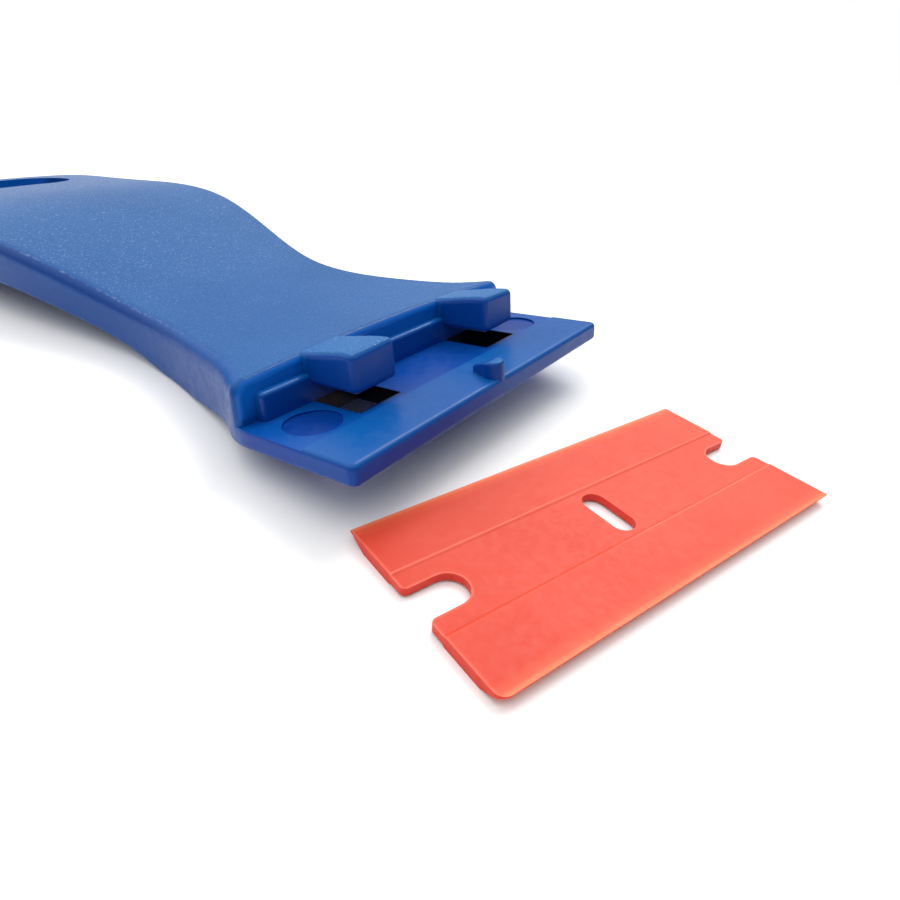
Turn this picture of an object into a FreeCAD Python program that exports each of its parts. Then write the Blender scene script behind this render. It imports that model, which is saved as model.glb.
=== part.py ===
import FreeCAD, Part
import math
import os

# Algae scraper: a moulded handle and the loose two-edged plastic blade lying in front of it.
# Millimetres, +Z up. The handle lies along Y, tail at +Y, and X runs across it. The whole set
# rests on the floor plane Z = 0. The origin is the middle of the handle's flat belly.
# "Station" is the distance along Y behind the front edge of the blade seat.

V = FreeCAD.Vector
UP = V(0, 0, 1)
ALONG = V(0, 1, 0)

# Handle, overall
HANDLE_LENGTH = 110.0
HEAD_HALF_WIDTH = 20.15
TAIL_HALF_WIDTH = 17.7
TAIL_CORNER_RADIUS = 5.0
STOCK_TOP = 16.0
PLAN_START = -4.0
CROWN_RADIUS = 300.0
TOP_EDGE_RADIUS = 1.5
BOTTOM_EDGE_RADIUS = 0.5
BELLY_START = 28.5
BELLY_END = 33.0
REST_STATION = (BELLY_START + BELLY_END) / 2
TAIL_FOOT_START = 106.0

# Half width of the handle at stations from the back of the head to the tail
SIDE_CURVE = [
    (20.15, 11.8),
    (17.95, 17.8),
    (16.1, 23.8),
    (14.8, 29.8),
    (14.15, 39.5),
    (15.35, 48.5),
    (17.2, 57.5),
    (18.5, 66.5),
    (18.4, 78.0),
    (17.7, 105.0),
]

# Height of the top surface on the centreline, every 9 mm from the hook tips to past the tail
TOP_START = 4.0
TOP_STEP = 9.0
TOP_HEIGHTS = [
    10.93,
    9.42,
    7.63,
    6.65,
    6.55,
    7.90,
    9.47,
    10.40,
    10.18,
    9.22,
    8.15,
    7.12,
    6.10,
]

# Underside, from the back of the flat seat plate down to the belly, and the arch behind it
NECK_RAMP = [(16.5, 1.90), (21.0, 1.15), (25.0, 0.42), (BELLY_START, 0.0)]
ARCH_CURVE = [
    (BELLY_END, 0.0),
    (39.4, 0.95),
    (46.8, 2.25),
    (55.0, 3.45),
    (62.5, 4.10),
    (73.0, 3.40),
    (88.0, 1.75),
    (TAIL_FOOT_START, 0.0),
]

# Blade seat. Seat coordinates: y back from the front edge, z up from the face of the front land
SEAT_HEIGHT = 6.95
SEAT_PITCH = 9.37
LIP_FRONT = -0.15
LIP_THICKNESS = 2.0
LIP_BACK = 12.2
LIP_CORNER_RADIUS = 0.7
LIP_EDGE_RADIUS = 0.5
LAND_DEPTH = 5.4
LAND_RISE = 0.2
SEAT_END = 16.0

# Wall behind the seat, stop rail, hooks
WALL_FOOT = 13.2
WALL_TOP = 12.9
WALL_EDGE_RADIUS = 0.7
RAIL_FRONT = 12.2
RAIL_TOP = 2.38
RAIL_HALF_WIDTH = 18.0
RAIL_EDGE_RADIUS = 0.45
HOOK_INNER = 7.1
HOOK_OUTER = 12.55
HOOK_FRONT = 6.5
HOOK_GAP = 1.3
HOOK_DROP = 0.03
HOOK_EDGE_RADIUS = 0.6
SEAT_RIB = 1.2
SEAT_RIB_DEPTH = 0.9
SEAT_RIB_FRONT = 4.5

# Locating nib, ejector marks
NIB_RADIUS = 1.05
NIB_LENGTH = 3.44
NIB_HEIGHT = 1.6
NIB_TIP_HEIGHT = 0.7
NIB_EDGE_RADIUS = 0.35
EJECTOR_X = 15.9
EJECTOR_Y = 8.7
EJECTOR_RADIUS = 2.6
EJECTOR_DEPTH = 0.2

# Hanging slot and the cored underside
HANG_STATION = 98.9
HANG_LENGTH = 19.5
HANG_WIDTH = 12.6
RIM = 2.2
SKIN = 2.3
RIB = 1.6
CORE_START = 17.0
RIB_STATIONS = [30.7, 42.7, 54.7, 66.7, 78.7]

# Blade
BLADE_LENGTH = 39.0
BLADE_DEPTH = 18.1
BLADE_THICKNESS = 1.0
BLADE_EDGE = 0.15
BLADE_BEVEL = 2.0
BAND_HALF_DEPTH = 3.44
BAND_SLOPE = 0.3
BAND_RECESS_TOP = 0.1
BAND_RECESS_UNDER = 0.2
NOTCH_WIDTH = 3.2
NOTCH_DEPTH = 4.4
NOTCH_LIP_RADIUS = 0.5
SLOT_LENGTH = 5.3
SLOT_WIDTH = 2.2
WORN_CORNER_RADIUS = 0.9
BLADE_CENTRE_X = -4.1
BLADE_CENTRE_STATION = -14.2
BLADE_YAW = -16.8


def curve(points, leaving, arriving):
    """A smooth edge through the given vectors, with the directions of its two ends."""
    spline = Part.BSplineCurve()
    spline.interpolate(Points=points, InitialTangent=leaving, FinalTangent=arriving)
    return spline.toShape()


def polyline(points):
    """Straight edges joining the given vectors."""
    return [Part.makeLine(a, b) for a, b in zip(points, points[1:])]


def side_point(station, height, x=0.0):
    return V(x, station, height)


def seat_point(y, z, x=0.0):
    """A point given in seat coordinates."""
    pitch = math.radians(SEAT_PITCH)
    station = y * math.cos(pitch) + z * math.sin(pitch)
    height = SEAT_HEIGHT - y * math.sin(pitch) + z * math.cos(pitch)
    return V(x, station, height)


def seat_placed(shape):
    """Move a shape drawn in seat coordinates onto the tilted seat."""
    placed = shape.copy()
    seat = FreeCAD.Placement(V(0, 0, SEAT_HEIGHT), FreeCAD.Rotation(V(1, 0, 0), -SEAT_PITCH))
    placed.Placement = seat.multiply(shape.Placement)
    return placed


def across(edges, half_width):
    """A prism of a closed side outline, centred on the middle plane."""
    face = Part.Face(Part.Wire(edges))
    face.translate(V(-half_width, 0, 0))
    return face.extrude(V(2 * half_width, 0, 0))


def block(x0, x1, y0, y1, z0, z1):
    return Part.makeBox(x1 - x0, y1 - y0, z1 - z0, V(x0, y0, z0))


def mirrored(shape):
    """The same shape on the other side of the middle plane."""
    return shape.mirror(V(0, 0, 0), V(1, 0, 0))


def plan_outline(inset):
    """The handle's plan outline, moved inward by the inset, and running on past the front."""
    end = HANDLE_LENGTH - inset
    corner = TAIL_CORNER_RADIUS - inset
    half = TAIL_HALF_WIDTH - inset
    bend = corner * math.sqrt(0.5)
    right = [V(x - inset, y, 0) for x, y in SIDE_CURVE]
    left = [V(-p.x, p.y, 0) for p in right]
    tail_right = Part.Arc(
        V(half, end - corner, 0),
        V(half - corner + bend, end - corner + bend, 0),
        V(half - corner, end, 0),
    ).toShape()
    tail_left = Part.Arc(
        V(-half, end - corner, 0),
        V(-half + corner - bend, end - corner + bend, 0),
        V(-half + corner, end, 0),
    ).toShape()
    front = HEAD_HALF_WIDTH - inset
    edges = [
        Part.makeLine(V(front, PLAN_START, 0), right[0]),
        curve(right, ALONG, ALONG),
        tail_right,
        Part.makeLine(V(half - corner, end, 0), V(-half + corner, end, 0)),
        tail_left,
        curve(left, ALONG, ALONG),
        Part.makeLine(left[0], V(-front, PLAN_START, 0)),
        Part.makeLine(V(-front, PLAN_START, 0), V(front, PLAN_START, 0)),
    ]
    return Part.Wire(Part.__sortEdges__(edges))


def plan_prism(inset):
    face = Part.Face(plan_outline(inset))
    face.translate(V(0, 0, -1))
    return face.extrude(V(0, 0, STOCK_TOP + 1))


def above_crown(drop):
    """Everything above the crowned top surface, lowered by the given drop."""
    grid = []
    for i, height in enumerate(TOP_HEIGHTS):
        station = TOP_START + i * TOP_STEP
        row = []
        for x in (-24.0, -12.0, 0.0, 12.0, 24.0):
            row.append(V(x, station, height - drop - x * x / (2 * CROWN_RADIUS)))
        grid.append(row)
    surface = Part.BSplineSurface()
    surface.interpolate(grid)
    return surface.toShape().extrude(V(0, 0, 2 * STOCK_TOP))


def side_profile():
    """The side outline of the uncut handle, flat under the seat and arched behind the belly."""
    lip_top = seat_point(LIP_FRONT, STOCK_TOP - SEAT_HEIGHT)
    lip_under = seat_point(LIP_FRONT, -LIP_THICKNESS)
    lip_back = seat_point(LIP_BACK, -LIP_THICKNESS)
    ramp = [lip_back] + [side_point(s, z) for s, z in NECK_RAMP]
    arch = [side_point(s, z) for s, z in ARCH_CURVE]
    tail_foot = side_point(HANDLE_LENGTH + 1, 0)
    tail_top = side_point(HANDLE_LENGTH + 1, STOCK_TOP)
    edges = polyline([lip_top, lip_under, lip_back])
    edges.append(curve(ramp, lip_back - lip_under, ALONG))
    edges.append(Part.makeLine(ramp[-1], arch[0]))
    edges.append(curve(arch, ALONG, ALONG))
    edges += polyline([arch[-1], tail_foot, tail_top, lip_top])
    return edges


def stock():
    """The handle's plan outline bounded below by its underside."""
    return across(side_profile(), HEAD_HALF_WIDTH + 2).common(plan_prism(0.0))


def rounded_stock():
    """The same with its two front corners and its whole lower rim rounded."""

    def front_corner(edge):
        p = middle(edge)
        return abs(abs(p.x) - HEAD_HALF_WIDTH) < 0.01 and p.y < 2 and p.z < 12

    blank = rounded(stock(), LIP_CORNER_RADIUS, front_corner)

    def lower_rim(edge):
        p = middle(edge)
        return edge.BoundBox.XLength > 20 and p.z < 5.5 and p.y < 1

    return rounded(blank, BOTTOM_EDGE_RADIUS, lower_rim)


def rounded(shape, radius, choose):
    """Round the edges of a shape that the chooser picks."""
    edges = [e for e in shape.Edges if choose(e)]
    return shape.makeFillet(radius, edges)


def middle(edge):
    first, last = edge.ParameterRange
    return edge.valueAt((first + last) / 2)


def seat_plate(blank):
    """The thin tilted plate that carries the blade, with the raised front land."""
    corners = [
        seat_point(-3, 0),
        seat_point(30, 0),
        seat_point(30, 20),
        seat_point(-3, 20),
    ]
    above = across(polyline(corners + corners[:1]), 30)
    behind = block(-30, 30, SEAT_END, HANDLE_LENGTH + 5, -2, 2 * STOCK_TOP)
    plate = blank.cut(above).cut(behind)

    top = seat_point(LIP_FRONT, 0).z

    def front_rim(edge):
        box = edge.BoundBox
        return box.XLength > 30 and abs(box.ZMin - top) < 0.02 and box.YMax < 1

    plate = rounded(plate, LIP_EDGE_RADIUS, front_rim)
    rear = block(-30, 30, LAND_DEPTH, 40, -LAND_RISE, 10)
    return plate.cut(seat_placed(rear))


def body(blank, crown):
    """The thick handle behind the seat, with its rounded upper rim and front wall."""
    lean = WALL_FOOT - WALL_TOP
    corners = [
        seat_point(WALL_FOOT + lean, -RAIL_TOP * 2),
        seat_point(WALL_TOP - lean * 3, RAIL_TOP * 8),
        seat_point(-9, RAIL_TOP * 8),
        seat_point(-9, -RAIL_TOP * 2),
    ]
    ahead = across(polyline(corners + corners[:1]), 30)
    solid = stock().cut(ahead).cut(crown)

    def side_rim(edge):
        p = middle(edge)
        return p.z > 5 and p.y > SEAT_END

    solid = rounded(solid, TOP_EDGE_RADIUS, side_rim)

    def wall_edge(edge):
        box = edge.BoundBox
        return box.ZLength > 2.5 and box.YLength < 1 and box.YMax < SEAT_END

    return rounded(solid, WALL_EDGE_RADIUS, wall_edge).common(blank)


def stop_rail():
    rail = block(
        -RAIL_HALF_WIDTH, RAIL_HALF_WIDTH, RAIL_FRONT, WALL_FOOT + 1, -1.0, RAIL_TOP
    )

    def exposed(edge):
        p = middle(edge)
        front_top = abs(p.y - RAIL_FRONT) < 0.01 and abs(p.z - RAIL_TOP) < 0.01
        end_top = abs(abs(p.x) - RAIL_HALF_WIDTH) < 0.01 and abs(p.z - RAIL_TOP) < 0.01
        end_front = (
            abs(abs(p.x) - RAIL_HALF_WIDTH) < 0.01 and abs(p.y - RAIL_FRONT) < 0.01
        )
        return front_top or end_top or end_front

    return seat_placed(rounded(rail, RAIL_EDGE_RADIUS, exposed))


def hook(crown):
    """A tongue reaching forward from the wall, clear of the seat, with its top on the crown."""
    tongue = block(HOOK_INNER, HOOK_OUTER, HOOK_FRONT, WALL_FOOT + 3, HOOK_GAP, 9)
    tongue = seat_placed(tongue).cut(crown)
    back_station = seat_point(WALL_FOOT + 3, HOOK_GAP).y - 0.5

    def exposed(edge):
        return edge.BoundBox.YMin < back_station and middle(edge).y < back_station

    return rounded(tongue, HOOK_EDGE_RADIUS, exposed)


def core_hole():
    """The window under a hook that shapes its underside."""
    return seat_placed(block(HOOK_INNER, HOOK_OUTER, HOOK_FRONT, RAIL_FRONT, -6, HOOK_GAP))


def seat_rib():
    """The stiffening rib under the seat plate, along the outer side of a window."""
    outer = HOOK_OUTER + SEAT_RIB
    bottom = -LIP_THICKNESS - SEAT_RIB_DEPTH
    return seat_placed(block(HOOK_OUTER, outer, SEAT_RIB_FRONT, SEAT_END, bottom, -1.0))


def nib():
    """The teardrop peg that enters the blade's slot, sloping down to its tip."""
    reach = NIB_LENGTH - NIB_RADIUS
    angle = math.asin(NIB_RADIUS / reach)
    tangent_x = NIB_RADIUS * math.cos(angle)
    tangent_y = NIB_RADIUS + NIB_RADIUS * math.sin(angle)
    tip = V(0, NIB_LENGTH, 0)
    nose = Part.Arc(V(-tangent_x, tangent_y, 0), V(0, 0, 0), V(tangent_x, tangent_y, 0))
    edges = [
        nose.toShape(),
        Part.makeLine(V(tangent_x, tangent_y, 0), tip),
        Part.makeLine(tip, V(-tangent_x, tangent_y, 0)),
    ]
    peg = Part.Face(Part.Wire(edges))
    peg.translate(V(0, 0, -0.5))
    peg = peg.extrude(V(0, 0, NIB_HEIGHT + 0.5))
    slope = [
        V(0, NIB_RADIUS, NIB_HEIGHT),
        V(0, NIB_LENGTH, NIB_TIP_HEIGHT),
        V(0, NIB_LENGTH + 1, NIB_HEIGHT + 1),
        V(0, NIB_RADIUS, NIB_HEIGHT),
    ]
    peg = peg.cut(across(polyline(slope), 3))

    def crest(edge):
        box = edge.BoundBox
        return box.ZMin > NIB_TIP_HEIGHT / 2 and box.YMin < NIB_LENGTH / 2

    peg = rounded(peg, NIB_EDGE_RADIUS, crest)
    peg.translate(V(0, LIP_FRONT, 0))
    return seat_placed(peg)


def ejector_mark():
    disc = Part.makeCylinder(
        EJECTOR_RADIUS, 2, V(EJECTOR_X, EJECTOR_Y, -LAND_RISE - EJECTOR_DEPTH)
    )
    return seat_placed(disc)


def stadium(length, width, height, base):
    """An oval prism lying along X, centred on the Z axis."""
    radius = width / 2
    straight = (length - width) / 2
    top = [V(-straight, radius, 0), V(straight, radius, 0)]
    low = [V(straight, -radius, 0), V(-straight, -radius, 0)]
    edges = [
        Part.makeLine(top[0], top[1]),
        Part.Arc(top[1], V(straight + radius, 0, 0), low[0]).toShape(),
        Part.makeLine(low[0], low[1]),
        Part.Arc(low[1], V(-straight - radius, 0, 0), top[0]).toShape(),
    ]
    face = Part.Face(Part.Wire(edges))
    face.translate(V(0, 0, base))
    return face.extrude(V(0, 0, height))


def core_pockets():
    """The hollows in the underside between the rim, the centre rib and the cross ribs."""
    pocket = plan_prism(RIM).cut(above_crown(SKIN))
    pocket = pocket.cut(block(-30, 30, PLAN_START - 1, CORE_START, -2, 2 * STOCK_TOP))
    pocket = pocket.cut(block(-RIB / 2, RIB / 2, 0, HANDLE_LENGTH, -2, STOCK_TOP))
    for station in RIB_STATIONS:
        rib = block(-30, 30, station - RIB / 2, station + RIB / 2, -2, STOCK_TOP)
        pocket = pocket.cut(rib)
    collar = stadium(HANG_LENGTH + 2 * RIM, HANG_WIDTH + 2 * RIM, 30, -5)
    collar.translate(V(0, HANG_STATION, 0))
    pocket = pocket.cut(collar)
    behind = block(-30, 30, HANG_STATION, HANDLE_LENGTH + 5, -2, STOCK_TOP)
    return pocket.cut(behind)


def build_handle():
    crown = above_crown(0.0)
    blank = rounded_stock()
    solid = body(blank, crown).fuse(seat_plate(blank))
    solid = solid.fuse(stop_rail())
    right_hook = hook(above_crown(HOOK_DROP))
    solid = solid.fuse(right_hook).fuse(mirrored(right_hook))
    solid = solid.fuse(nib())
    solid = solid.fuse(seat_rib()).fuse(mirrored(seat_rib()))
    for cutter in (core_hole(), ejector_mark()):
        solid = solid.cut(cutter).cut(mirrored(cutter))
    solid = solid.cut(core_pockets())
    hang = stadium(HANG_LENGTH, HANG_WIDTH, 30, -5)
    hang.translate(V(0, HANG_STATION, 0))
    solid = solid.cut(hang).removeSplitter()
    solid.translate(V(0, -REST_STATION, 0))
    return solid


def blade_blank():
    """The blade's cross section, bevelled underneath along both long edges, run along X."""
    half = BLADE_DEPTH / 2
    band = BAND_HALF_DEPTH
    slope = band - BAND_SLOPE
    high = BLADE_THICKNESS
    right = [
        (0, BAND_RECESS_UNDER),
        (slope, BAND_RECESS_UNDER),
        (band, 0),
        (half - BLADE_BEVEL, 0),
        (half, high - BLADE_EDGE),
        (half, high),
        (band, high),
        (slope, high - BAND_RECESS_TOP),
    ]
    left = [(-y, z) for y, z in reversed(right) if y > 0]
    section = [V(0, y, z) for y, z in right + left]
    return across(polyline(section + section[:1]), BLADE_LENGTH / 2)


def end_notch():
    """A round-bottomed notch in the middle of one short end, with eased lips."""
    half = BLADE_LENGTH / 2
    radius = NOTCH_WIDTH / 2
    lip = NOTCH_LIP_RADIUS
    bottom = half - NOTCH_DEPTH
    ease = lip * (1 - math.sqrt(0.5))
    edges = [
        Part.Arc(
            V(bottom + radius, -radius, 0), V(bottom, 0, 0), V(bottom + radius, radius, 0)
        ).toShape(),
        Part.makeLine(V(bottom + radius, radius, 0), V(half - lip, radius, 0)),
        Part.Arc(
            V(half - lip, radius, 0),
            V(half - ease, radius + ease, 0),
            V(half, radius + lip, 0),
        ).toShape(),
    ]
    edges += polyline(
        [
            V(half, radius + lip, 0),
            V(half + 1, radius + lip, 0),
            V(half + 1, -radius - lip, 0),
            V(half, -radius - lip, 0),
        ]
    )
    edges.append(
        Part.Arc(
            V(half, -radius - lip, 0),
            V(half - ease, -radius - ease, 0),
            V(half - lip, -radius, 0),
        ).toShape()
    )
    edges.append(Part.makeLine(V(half - lip, -radius, 0), V(bottom + radius, -radius, 0)))
    face = Part.Face(Part.Wire(edges))
    face.translate(V(0, 0, -1))
    return face.extrude(V(0, 0, BLADE_THICKNESS + 2))


def corner_trim():
    """What the one rounded corner leaves out of its square."""
    x = -BLADE_LENGTH / 2
    y = -BLADE_DEPTH / 2
    r = WORN_CORNER_RADIUS
    square = block(x - 1, x + r, y - 1, y + r, -1, BLADE_THICKNESS + 1)
    return square.cut(Part.makeCylinder(r, BLADE_THICKNESS + 4, V(x + r, y + r, -2)))


def build_blade():
    solid = blade_blank()
    notch = end_notch()
    solid = solid.cut(notch).cut(mirrored(notch))
    slot = stadium(SLOT_LENGTH, SLOT_WIDTH, BLADE_THICKNESS + 2, -1)
    slot.rotate(V(0, 0, 0), UP, 90)
    solid = solid.cut(slot).cut(corner_trim())
    solid.rotate(V(0, 0, 0), UP, BLADE_YAW)
    solid.translate(V(BLADE_CENTRE_X, BLADE_CENTRE_STATION - REST_STATION, 0))
    return solid


os.makedirs("parts", exist_ok=True)
build_handle().exportStep("parts/handle.step")
build_blade().exportStep("parts/blade.step")
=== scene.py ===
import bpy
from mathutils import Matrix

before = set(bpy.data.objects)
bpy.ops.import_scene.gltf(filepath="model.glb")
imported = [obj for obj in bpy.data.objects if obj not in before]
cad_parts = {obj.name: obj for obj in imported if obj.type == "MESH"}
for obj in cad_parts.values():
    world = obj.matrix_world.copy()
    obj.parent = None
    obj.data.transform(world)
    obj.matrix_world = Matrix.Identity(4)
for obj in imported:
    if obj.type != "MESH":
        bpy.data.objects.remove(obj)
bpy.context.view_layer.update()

import math

import bpy
from mathutils import Matrix, Vector

MM = 0.001

# Camera: place, and the directions of the picture's right, down and depth, in the row frame
CAMERA_PLACE = Vector((-47.08, -57.49, 33.32)) * MM
CAMERA_RIGHT = Vector((0.59726, -0.79883, 0.07183))
CAMERA_DOWN = Vector((-0.40074, -0.37480, -0.83602))
CAMERA_DEPTH = Vector((0.69476, 0.47053, -0.54398))
CAMERA_LENS = 25.38

# Light: the direction that the key comes from and its spread in degrees, the direction in
# which the surroundings grow brighter, up and behind the object, and the strengths
KEY_FROM = Vector((0.85, 0.22, 1.0))
KEY_SPREAD = 32.0
KEY_STRENGTH = 1.25
SKY_LEAN = Vector((0.0, 0.35, 1.0))
SKY_DARK_UNTIL = 0.25
DARK_STRENGTH = 0.18
BRIGHT_STRENGTH = 1.88

# Side of the square floor, in metres
FLOOR_SIZE = 6.0

# Zones of the handle's surface, in metres
WALL_LINE = -16.85 * MM
RIM_FROM = -8.0 * MM
RIM_TO = 8.0 * MM
# Where the painted glints in the grain grow from few to many
GLINT_FROM = -10.0 * MM
GLINT_TO = 30.0 * MM
# Where the painted sheen on the tail and the smoother worn finish grow
SHEEN_AND_WEAR_FROM = 30.0 * MM
SHEEN_AND_WEAR_TO = 62.0 * MM
HOOK_LEVEL = 8.2 * MM
SEAT_SLOPE = math.tan(math.radians(9.37))
SEAT_ZERO = 6.95 * MM - SEAT_SLOPE * 30.75 * MM
HOLE_SIDES = (7.05 * MM, 12.6 * MM)
HOLE_ENDS = (-24.6 * MM, -18.3 * MM)
LAND_LINE = -25.42 * MM
EJECTOR_X = 15.9 * MM
EJECTOR_Y = -22.2 * MM
EJECTOR_RADIUS = 2.6 * MM

# The blade and the zones of its surface
BLADE_CENTRE = Vector((-4.1, -44.95, 0.0)) * MM
BLADE_YAW = -16.8
BLADE_HALF_LENGTH = 19.5 * MM
BLADE_HALF_DEPTH = 9.05 * MM
BAND_EDGE = 3.44 * MM
NOTCH_RADIUS = 1.6 * MM
NOTCH_AXIS_END = 16.7 * MM

# Colours of the handle. A pair is the two ends of a slow, cloudy variation
POLISHED = ((0.001, 0.077, 0.308, 1), (0.002, 0.091, 0.340, 1))
GRAINED = ((0.009, 0.092, 0.290, 1), (0.015, 0.107, 0.320, 1))
# Painted shade: the seat behind the land is deeper, standing in for dark reflections,
# deepest in its middle
SEAT_REAR_SHADE = ((0.000, 0.064, 0.310, 1), (0.001, 0.076, 0.345, 1))
SEAT_MIDDLE_SHADE = (0.000, 0.042, 0.270, 1)
# Painted shade inside the shallow ejector recesses
EJECTOR_RECESS_SHADE = (0.000, 0.028, 0.225, 1)
# Painted shade on the steep faces in front of the wall: the rail and the hooks' fronts and
# sides
STEEP_FRONT_SHADE = (0.000, 0.024, 0.270, 1)
# Painted light: the wall's front face made paler than its lighting leaves it
FRONT_WALL_LIGHT = (0.002, 0.115, 0.500, 1)
# Painted shade: a dark reflection along the rounded upper edge towards the tail
UPPER_BEND_SHADE = (0.000, 0.040, 0.215, 1)
# Painted shade: the side faces made darker
FLANK_SHADE = (0.000, 0.020, 0.200, 1)
# Painted light: the hooks' tops paler, as if lit more
HOOK_TOP_LIGHT = (0.013, 0.122, 0.355, 1)
# Painted highlight: pale glints scattered in the grain
GRAIN_GLINT = (0.30, 0.44, 0.66, 1)
# Painted sheen: a pale grey-blue reflection towards the tail
TAIL_SHEEN = (0.24, 0.30, 0.46, 1)
# Painted highlight: broken pale lines along the upper rim
RIM_HIGHLIGHT = (0.36, 0.46, 0.66, 1)
# Painted shade: nearly black on the walls inside the core holes
HOLE_SHADE = (0.001, 0.002, 0.008, 1)

# Colours of the blade and the floor
# The pair is the two ends of a cloudy variation and of a painted shade that makes the blade
# darker and redder towards its left end
ORANGE = ((0.62, 0.050, 0.021, 1), (0.74, 0.082, 0.042, 1))
# Painted light: paler along the thin long edges, as if lit through them
THIN_EDGE_GLOW = (0.85, 0.155, 0.060, 1)
# Painted light: a pale strip at the very edge of the long sides
EDGE_GLOW = (0.88, 0.26, 0.12, 1)
# Painted highlight along the edges of the recessed band
BAND_LINE_HIGHLIGHT = (0.85, 0.20, 0.13, 1)
# Painted highlight along the upper edges of the short ends and the notches
END_LIP_HIGHLIGHT = (0.85, 0.19, 0.12, 1)
# Deep red of the plastic seen through its thickness, darkened further as painted shade on
# the walls
BLADE_WALL_RED_AND_SHADE = (0.70, 0.045, 0.024, 1)
FLOOR_WHITE = (0.93, 0.93, 0.93, 1)


class Nodes:
    """A short way to build one material's node tree."""

    def __init__(self, name):
        self.material = bpy.data.materials.new(name)
        self.material.use_nodes = True
        self.tree = self.material.node_tree
        self.tree.nodes.clear()
        self.output = self.add("ShaderNodeOutputMaterial")
        self.shader = self.add("ShaderNodeBsdfPrincipled")
        self.link(self.shader.outputs[0], self.output.inputs["Surface"])

    def add(self, kind, **values):
        node = self.tree.nodes.new(kind)
        for key, value in values.items():
            setattr(node, key, value)
        return node

    def link(self, source, target):
        self.tree.links.new(source, target)

    def feed(self, socket, value):
        if isinstance(value, bpy.types.NodeSocket):
            self.link(value, socket)
        else:
            socket.default_value = value

    def math(self, operation, a, b=0.0):
        node = self.add("ShaderNodeMath", operation=operation)
        self.feed(node.inputs[0], a)
        self.feed(node.inputs[1], b)
        return node.outputs[0]

    def times(self, first, *others):
        """The product of all the values."""
        product = first
        for value in others:
            product = self.math("MULTIPLY", product, value)
        return product

    def inverse(self, mask):
        return self.math("SUBTRACT", 1.0, mask)

    def distance(self, a, b):
        """How far the point (a, b) is from (0, 0)."""
        return self.math("SQRT", self.math("ADD", self.times(a, a), self.times(b, b)))

    def ramp(self, value, low, high, out_low=0.0, out_high=1.0, smooth=True):
        """The value carried from one range to another, and held level outside it."""
        node = self.add("ShaderNodeMapRange")
        node.interpolation_type = "SMOOTHSTEP" if smooth else "LINEAR"
        self.feed(node.inputs["Value"], value)
        node.inputs["From Min"].default_value = low
        node.inputs["From Max"].default_value = high
        self.feed(node.inputs["To Min"], out_low)
        self.feed(node.inputs["To Max"], out_high)
        return node.outputs["Result"]

    def mix(self, factor, a, b):
        node = self.add("ShaderNodeMix", data_type="RGBA")
        self.feed(node.inputs[0], factor)
        self.feed(node.inputs[6], a)
        self.feed(node.inputs[7], b)
        return node.outputs[2]

    def place(self):
        return self.add("ShaderNodeTexCoord").outputs["Object"]

    def parts_of(self, vector):
        node = self.add("ShaderNodeSeparateXYZ")
        self.link(vector, node.inputs[0])
        return node.outputs

    def measured(self, start, direction):
        """The distance from the start, along the direction."""
        moved = self.add("ShaderNodeVectorMath", operation="SUBTRACT")
        self.link(self.place(), moved.inputs[0])
        moved.inputs[1].default_value = start
        node = self.add("ShaderNodeVectorMath", operation="DOT_PRODUCT")
        self.link(moved.outputs[0], node.inputs[0])
        node.inputs[1].default_value = direction
        return node.outputs["Value"]

    def noise(self, scale, detail=2.0, rough=0.5):
        node = self.add("ShaderNodeTexNoise")
        self.link(self.place(), node.inputs["Vector"])
        node.inputs["Scale"].default_value = scale
        node.inputs["Detail"].default_value = detail
        node.inputs["Roughness"].default_value = rough
        return node.outputs["Fac"]

    def within(self, value, low, high):
        """One between the two ends, and nothing outside them."""
        above = self.math("GREATER_THAN", value, low)
        return self.times(above, self.math("LESS_THAN", value, high))

    def bump(self, height, distance, normal=None):
        node = self.add("ShaderNodeBump")
        node.inputs["Strength"].default_value = 1.0
        node.inputs["Distance"].default_value = distance
        self.link(height, node.inputs["Height"])
        if normal is not None:
            self.link(normal, node.inputs["Normal"])
        return node.outputs["Normal"]


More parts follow.
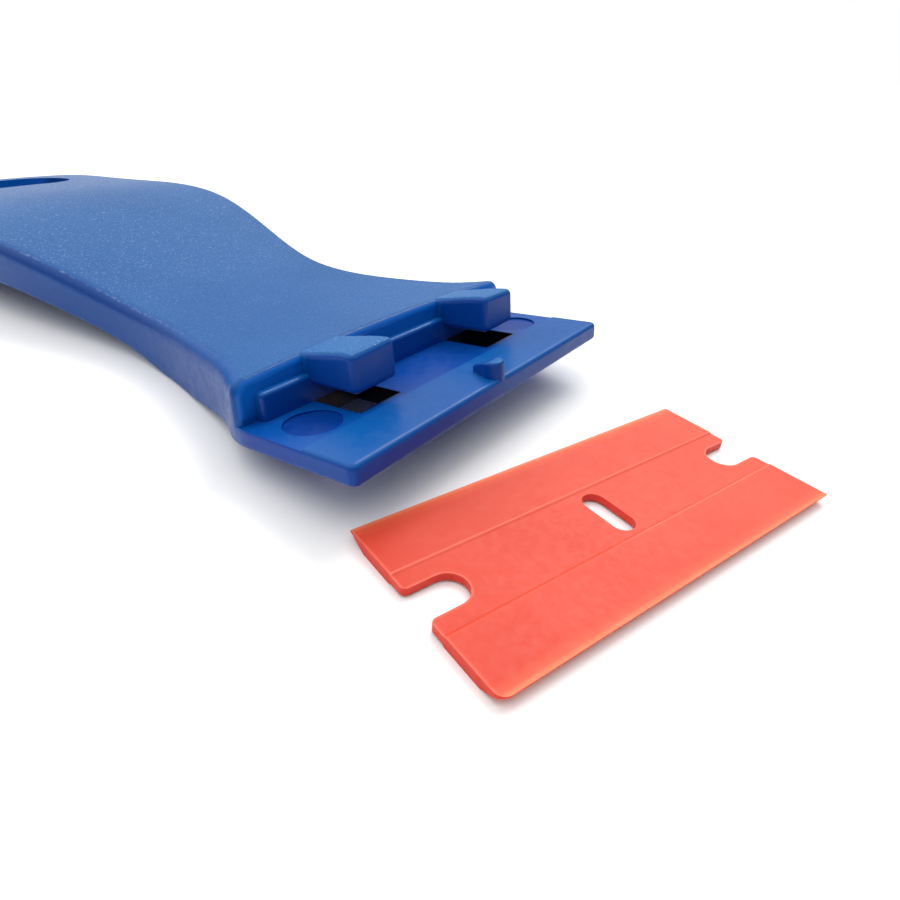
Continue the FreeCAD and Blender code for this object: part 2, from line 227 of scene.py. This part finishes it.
class HandleZones:
    """The zones of the handle's surface, each a mask that is 1 inside and 0 outside, with
    the coordinates and the normal that they are made from."""

    def __init__(self, m):
        self.normal = m.parts_of(m.add("ShaderNodeTexCoord").outputs["Normal"])
        self.x, self.y, self.z = m.parts_of(m.place())
        self.side = m.math("ABSOLUTE", self.x)
        self.facing_up = m.ramp(self.normal[2], 0.93, 0.975)
        self.behind_wall = m.ramp(self.y, WALL_LINE - 0.6 * MM, WALL_LINE)
        self.towards_tail = m.ramp(self.y, RIM_FROM, RIM_TO)
        on_hooks = m.ramp(self.z, HOOK_LEVEL, HOOK_LEVEL + 0.5 * MM)
        self.hook_top = m.times(
            m.ramp(self.normal[2], 0.80, 0.90), on_hooks, m.inverse(self.behind_wall)
        )
        top = m.times(self.facing_up, self.behind_wall)
        self.grained = m.math("MAXIMUM", top, self.hook_top)
        self.add_seat(m)
        self.add_walls(m)

    def add_seat(self, m):
        """The tilted seat with its front land, its ejector marks and its core holes."""
        seat_level = m.math("SUBTRACT", SEAT_ZERO, m.times(self.y, SEAT_SLOPE))
        under_seat = m.math("SUBTRACT", seat_level, self.z)
        self.in_hole = m.times(
            m.within(self.side, *HOLE_SIDES),
            m.within(self.y, *HOLE_ENDS),
            m.ramp(under_seat, 0.03 * MM, 0.3 * MM),
        )
        self.land = m.ramp(self.y, LAND_LINE + 0.04 * MM, LAND_LINE - 0.04 * MM)
        reach = m.distance(
            m.math("SUBTRACT", self.side, EJECTOR_X), m.math("SUBTRACT", self.y, EJECTOR_Y)
        )
        self.disc = m.ramp(reach, EJECTOR_RADIUS, EJECTOR_RADIUS - 0.12 * MM)
        self.seat = m.times(
            m.ramp(self.y, WALL_LINE - 0.3 * MM, WALL_LINE - 0.8 * MM),
            m.ramp(under_seat, -0.6 * MM, -0.3 * MM),
        )

    def add_walls(self, m):
        """The steep faces where light and shade are painted: in front of the wall, the wall
        itself, the flanks and the rim.
        """
        ahead = m.ramp(self.y, WALL_LINE - 0.9 * MM, WALL_LINE - 1.3 * MM)
        self.steep_front = m.times(ahead, m.ramp(self.normal[2], 0.75, 0.45))
        self.front_wall = m.times(
            m.ramp(self.normal[1], -0.5, -0.8),
            m.inverse(self.seat),
            m.ramp(self.y, WALL_LINE - 1.0 * MM, WALL_LINE - 0.6 * MM),
        )
        sideways = m.math("ABSOLUTE", self.normal[0])
        self.flank = m.times(m.ramp(sideways, 0.6, 0.9), self.behind_wall)
        self.bend = m.times(
            m.ramp(self.normal[2], 0.12, 0.45),
            m.ramp(self.normal[2], 0.94, 0.80),
            self.towards_tail,
        )
        self.rim = m.times(
            m.ramp(self.normal[2], 0.78, 0.86), m.ramp(self.normal[2], 0.95, 0.88)
        )


def seat_tone(m, zones, cloud, polished):
    """Painted shade: deeper behind the land, most of all in the middle, and in the ejector
    marks.
    """
    rear = m.mix(cloud, *SEAT_REAR_SHADE)
    # Painted shade: deeper in the middle of the seat, where the hooks would be reflected
    rear = m.mix(m.ramp(zones.side, 14.0 * MM, 5.0 * MM, 0.0, 0.7), rear, SEAT_MIDDLE_SHADE)
    # Painted shade: darker inside the ejector recesses
    tone = m.mix(m.times(zones.disc, 0.75), rear, EJECTOR_RECESS_SHADE)
    return m.mix(zones.land, tone, polished)


def handle_tone(m, zones):
    cloud = m.ramp(m.noise(60.0, 3.0), 0.3, 0.7)
    polished = m.mix(cloud, *POLISHED)
    tone = m.mix(zones.seat, polished, seat_tone(m, zones, cloud, polished))
    # Painted shade: darker on the steep faces in front of the wall
    tone = m.mix(m.times(zones.steep_front, 0.55), tone, STEEP_FRONT_SHADE)
    # Painted light: paler on the wall's front face
    tone = m.mix(zones.front_wall, tone, FRONT_WALL_LIGHT)
    # Painted shade: a dark reflection along the rounded upper edge
    tone = m.mix(m.times(zones.bend, 0.7), tone, UPPER_BEND_SHADE)
    # Painted shade: darker on the side faces
    tone = m.mix(m.times(zones.flank, 0.4), tone, FLANK_SHADE)
    tone = m.mix(zones.grained, tone, m.mix(cloud, *GRAINED))
    # Painted light: paler on the hooks' tops
    tone = m.mix(zones.hook_top, tone, HOOK_TOP_LIGHT)
    tone = painted_glints_and_sheen(m, zones, tone)
    # Painted shade: nearly black inside the core holes
    return m.mix(zones.in_hole, tone, HOLE_SHADE)


def painted_glints_and_sheen(m, zones, tone):
    """Painted highlights: pale glints in the grain, a painted sheen towards the tail, and
    painted highlights along the upper rim.
    """
    amount = m.ramp(zones.y, GLINT_FROM, GLINT_TO, 0.14, 0.42)
    amount = m.math("MAXIMUM", amount, m.times(zones.hook_top, 0.4))
    # Painted highlight: pale glints in the grain, more towards the tail and on the hooks
    grain_glint = m.times(m.ramp(m.noise(4200.0, 1.0), 0.60, 0.74), amount, zones.grained)
    tone = m.mix(grain_glint, tone, GRAIN_GLINT)
    # Painted sheen: paler towards the tail on the upward faces
    tail_sheen = m.times(m.ramp(zones.y, SHEEN_AND_WEAR_FROM, SHEEN_AND_WEAR_TO, 0.0, 0.22), zones.facing_up)
    tone = m.mix(tail_sheen, tone, TAIL_SHEEN)
    # Painted highlight: broken pale lines along the upper rim towards the tail
    rim_highlight = m.times(
        zones.rim,
        m.ramp(m.noise(1600.0, 4.0), 0.44, 0.72),
        m.ramp(zones.y, RIM_FROM, RIM_TO, 0.0, 0.25),
    )
    return m.mix(rim_highlight, tone, RIM_HIGHLIGHT)


def handle_finish(m, zones):
    """A fine grain where the handle is grained, and a faint waviness everywhere."""
    fine = m.noise(4800.0, 2.0, 0.6)
    coarse = m.noise(900.0, 2.0, 0.5)
    rough_polished = m.ramp(coarse, 0.35, 0.7, 0.28, 0.38)
    worn = m.ramp(zones.y, SHEEN_AND_WEAR_FROM, SHEEN_AND_WEAR_TO)
    rough_least = m.ramp(worn, 0.0, 1.0, 0.44, 0.30)
    rough_grained = m.ramp(fine, 0.3, 0.7, rough_least, 0.60)
    rough = m.ramp(zones.grained, 0.0, 1.0, rough_polished, rough_grained, False)
    m.feed(m.shader.inputs["Roughness"], rough)
    waviness = m.bump(coarse, 0.004 * MM)
    grain = m.bump(m.times(fine, zones.grained), 0.07 * MM, waviness)
    m.feed(m.shader.inputs["Normal"], grain)


def blue_plastic():
    """Grained on top, polished on the sides and the seat, with painted shade nearly black in
    the core holes and painted light and shade on many faces.
    """
    m = Nodes("blue_plastic_look")
    zones = HandleZones(m)
    m.feed(m.shader.inputs["Base Color"], handle_tone(m, zones))
    handle_finish(m, zones)
    m.shader.inputs["Specular IOR Level"].default_value = 0.2
    m.shader.inputs["IOR"].default_value = 1.5
    return m.material


class BladeZones:
    """Places on the blade, measured along it and across it from its middle."""

    def __init__(self, m):
        yaw = math.radians(BLADE_YAW)
        self.normal = m.parts_of(m.add("ShaderNodeTexCoord").outputs["Normal"])
        self.along = m.measured(BLADE_CENTRE, Vector((math.cos(yaw), math.sin(yaw), 0)))
        self.across = m.measured(BLADE_CENTRE, Vector((-math.sin(yaw), math.cos(yaw), 0)))
        self.length = m.math("ABSOLUTE", self.along)
        self.depth = m.math("ABSOLUTE", self.across)


def band_lines(m, zones):
    """Painted highlights along the two edges of the recessed band. The front one fades out
    towards the left end.
    """
    line = m.times(
        m.ramp(zones.depth, BAND_EDGE - 0.16 * MM, BAND_EDGE - 0.04 * MM),
        m.ramp(zones.depth, BAND_EDGE + 0.12 * MM, BAND_EDGE),
    )
    faded = m.times(
        m.ramp(zones.across, 1.0 * MM, -1.0 * MM), m.ramp(zones.along, 2.0 * MM, -5.0 * MM)
    )
    return m.times(line, m.ramp(faded, 0.0, 1.0, 0.6, 0.15, False))


def end_lips(m, zones):
    """Painted highlights along the upper edges of the short ends and of the notches in them.
    """
    into_notch = m.math("MAXIMUM", m.math("SUBTRACT", NOTCH_AXIS_END, zones.length), 0.0)
    reach = m.distance(into_notch, zones.across)
    lip = m.ramp(reach, NOTCH_RADIUS + 0.28 * MM, NOTCH_RADIUS + 0.05 * MM)
    end = m.ramp(zones.length, BLADE_HALF_LENGTH - 0.28 * MM, BLADE_HALF_LENGTH - 0.05 * MM)
    return m.times(m.math("MAXIMUM", lip, end), m.ramp(zones.normal[2], 0.6, 0.9, 0.0, 0.5))


def blade_tone(m, zones):
    cloud = m.times(m.ramp(m.noise(70.0, 3.0), 0.3, 0.7), 0.4)
    # Painted shade: darker and redder towards the left end, paler towards the right
    left_end_shade = m.ramp(zones.along, -20.0 * MM, 16.0 * MM, 0.0, 0.6, False)
    tone = m.mix(m.math("ADD", cloud, left_end_shade), *ORANGE)
    # Painted light: paler towards the thin long edges
    thin = m.ramp(zones.depth, BLADE_HALF_DEPTH - 1.4 * MM, BLADE_HALF_DEPTH, 0.0, 0.55)
    tone = m.mix(thin, tone, THIN_EDGE_GLOW)
    # Painted light: a pale strip along the last half millimetre of the long edges
    edge_glow_line = m.ramp(
        zones.depth, BLADE_HALF_DEPTH - 0.5 * MM, BLADE_HALF_DEPTH - 0.1 * MM, 0.0, 0.6
    )
    tone = m.mix(edge_glow_line, tone, EDGE_GLOW)
    # Painted highlight: pale lines at the band's edges
    tone = m.mix(band_lines(m, zones), tone, BAND_LINE_HIGHLIGHT)
    # Painted highlight: pale lips at the short ends and the notches
    tone = m.mix(end_lips(m, zones), tone, END_LIP_HIGHLIGHT)
    # Partly the deep red of the walls, partly painted shade on them
    wall = m.ramp(m.math("ABSOLUTE", zones.normal[2]), 0.7, 0.3)
    return m.mix(wall, tone, BLADE_WALL_RED_AND_SHADE)


def orange_plastic():
    """Paler along its thin edges as painted light, with painted highlights on its edge
    lines, deeper on its walls partly as painted shade, and darker and redder towards its
    left end as painted shade.
    """
    m = Nodes("orange_plastic_look")
    m.feed(m.shader.inputs["Base Color"], blade_tone(m, BladeZones(m)))
    fine = m.noise(1500.0, 3.0, 0.6)
    m.feed(m.shader.inputs["Roughness"], m.ramp(fine, 0.3, 0.7, 0.42, 0.52))
    m.feed(m.shader.inputs["Normal"], m.bump(fine, 0.008 * MM))
    m.shader.inputs["IOR"].default_value = 1.5
    m.shader.inputs["Specular IOR Level"].default_value = 0.25
    m.shader.inputs["Subsurface Weight"].default_value = 0.35
    m.shader.inputs["Subsurface Radius"].default_value = (1.0, 0.35, 0.15)
    m.shader.inputs["Subsurface Scale"].default_value = 0.9 * MM
    return m.material


def floor_material():
    """Plain matt white."""
    m = Nodes("floor_look")
    m.shader.inputs["Base Color"].default_value = FLOOR_WHITE
    m.shader.inputs["Roughness"].default_value = 1.0
    m.shader.inputs["Specular IOR Level"].default_value = 0.0
    return m.material


def dress(node, material):
    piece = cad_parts[node]
    for slot in piece.material_slots:
        slot.material = material


def add_floor():
    bpy.ops.mesh.primitive_plane_add(size=FLOOR_SIZE, location=(0, 0, 0))
    floor = bpy.context.object
    floor.name = "floor"
    floor.data.materials.append(floor_material())


def add_key():
    """A broad soft light, far off to the right and high up, even over the whole floor."""
    data = bpy.data.lights.new("key", "SUN")
    data.energy = KEY_STRENGTH
    data.angle = math.radians(KEY_SPREAD)
    lamp = bpy.data.objects.new("key", data)
    lamp.rotation_euler = (-KEY_FROM).to_track_quat("-Z", "Y").to_euler()
    bpy.context.collection.objects.link(lamp)


def add_camera():
    data = bpy.data.cameras.new("camera")
    data.sensor_width = 36.0
    data.lens = CAMERA_LENS
    data.clip_start = 0.001
    data.clip_end = 20.0
    camera = bpy.data.objects.new("camera", data)
    turn = Matrix((CAMERA_RIGHT, -CAMERA_DOWN, -CAMERA_DEPTH)).transposed()
    camera.matrix_world = Matrix.Translation(CAMERA_PLACE) @ turn.to_4x4()
    bpy.context.collection.objects.link(camera)
    bpy.context.scene.camera = camera


def add_world():
    """White behind everything. As a light it is brightest overhead and behind the object."""
    world = bpy.data.worlds.new("studio")
    world.use_nodes = True
    tree = world.node_tree
    shade = tree.nodes["Background"]
    shade.inputs["Color"].default_value = (1.0, 1.0, 1.0, 1)
    place = tree.nodes.new("ShaderNodeTexCoord")
    lean = tree.nodes.new("ShaderNodeVectorMath")
    lean.operation = "DOT_PRODUCT"
    lean.inputs[1].default_value = SKY_LEAN
    tree.links.new(place.outputs["Generated"], lean.inputs[0])
    sky = tree.nodes.new("ShaderNodeMapRange")
    tree.links.new(lean.outputs["Value"], sky.inputs["Value"])
    sky.inputs["From Min"].default_value = SKY_DARK_UNTIL
    sky.inputs["From Max"].default_value = 1.0
    sky.inputs["To Min"].default_value = DARK_STRENGTH
    sky.inputs["To Max"].default_value = BRIGHT_STRENGTH
    seen = tree.nodes.new("ShaderNodeLightPath")
    pick = tree.nodes.new("ShaderNodeMix")
    tree.links.new(seen.outputs["Is Camera Ray"], pick.inputs[0])
    tree.links.new(sky.outputs["Result"], pick.inputs[2])
    pick.inputs[3].default_value = 1.0
    tree.links.new(pick.outputs[0], shade.inputs["Strength"])
    bpy.context.scene.world = world


dress("handle", blue_plastic())
dress("blade", orange_plastic())
add_floor()
add_world()
add_key()
add_camera()
bpy.context.scene.view_settings.view_transform = "Standard"
